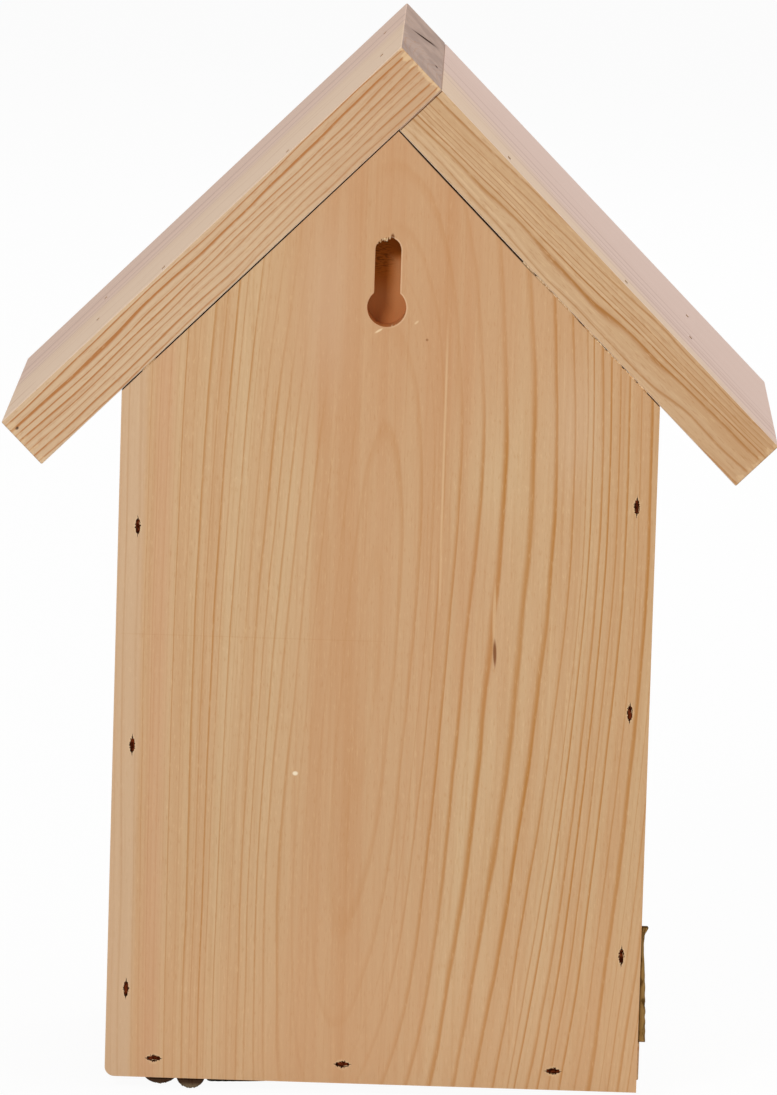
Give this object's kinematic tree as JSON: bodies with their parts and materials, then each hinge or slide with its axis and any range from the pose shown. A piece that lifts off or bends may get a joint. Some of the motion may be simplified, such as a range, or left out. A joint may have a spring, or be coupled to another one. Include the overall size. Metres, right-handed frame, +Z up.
{
  "type": "bee hotel",
  "caption": "Gabled pine bee hotel that hangs on a wall by a keyhole, with drilled logs, bamboo tubes and drilled blocks under a square-ridged board roof.",
  "frame": {"origin": "middle of the back board's lower edge, in the plane that lies against the wall", "axes": "+Z up, +Y out of the back towards the wall, so the open front faces -Y; +X to the right as seen from the open front"},
  "size_m": [0.2382, 0.145, 0.3262],
  "materials": {
    "pine_board": "matte",
    "roof_board": "matte",
    "staple_wire": "satin",
    "branch_wood": "matte",
    "bark": "matte",
    "bamboo": "satin",
    "drilled_pine": "matte"
  },
  "bodies": {
    "root": {"back_board": "pine_board", "wall_left": "pine_board", "wall_right": "pine_board", "floor_board": "pine_board", "shelf_lower": "pine_board", "shelf_upper": "pine_board", "roof_board_long": "roof_board", "roof_board_short": "roof_board", "back_wall_staples": "staple_wire", "back_floor_staples": "staple_wire", "wall_foot_staples": "staple_wire", "shelf_staples": "staple_wire", "roof_staples": "staple_wire", "ridge_staples": "staple_wire", "branch_log_1": "branch_wood", "branch_log_2": "branch_wood", "branch_log_3": "branch_wood", "log_bark_1": "bark", "log_bark_2": "bark", "log_bark_3": "bark", "bamboo_tube_01": "bamboo", "bamboo_tube_02": "bamboo", "bamboo_tube_03": "bamboo", "bamboo_tube_04": "bamboo", "bamboo_tube_05": "bamboo", "bamboo_tube_06": "bamboo", "bamboo_tube_07": "bamboo", "bamboo_tube_08": "bamboo", "bamboo_tube_09": "bamboo", "bamboo_tube_10": "bamboo", "bamboo_tube_11": "bamboo", "bamboo_tube_12": "bamboo", "bamboo_tube_13": "bamboo", "bamboo_tube_14": "bamboo", "bamboo_tube_15": "bamboo", "bamboo_tube_16": "bamboo", "bamboo_tube_17": "bamboo", "bamboo_tube_18": "bamboo", "bamboo_tube_19": "bamboo", "bamboo_tube_20": "bamboo", "bamboo_tube_21": "bamboo", "bamboo_tube_22": "bamboo", "bamboo_tube_23": "bamboo", "bamboo_tube_24": "bamboo", "bamboo_tube_25": "bamboo", "bamboo_tube_26": "bamboo", "bamboo_tube_27": "bamboo", "bamboo_tube_28": "bamboo", "bamboo_tube_29": "bamboo", "bamboo_tube_30": "bamboo", "bamboo_tube_31": "bamboo", "bamboo_tube_32": "bamboo", "bamboo_tube_33": "bamboo", "drilled_block": "drilled_pine", "gable_block_low": "drilled_pine", "gable_block_top": "drilled_pine", "wall_bark": "bark", "base_bark_1": "bark", "base_bark_2": "bark", "base_bark_3": "bark"}
  },
  "joints": []
}
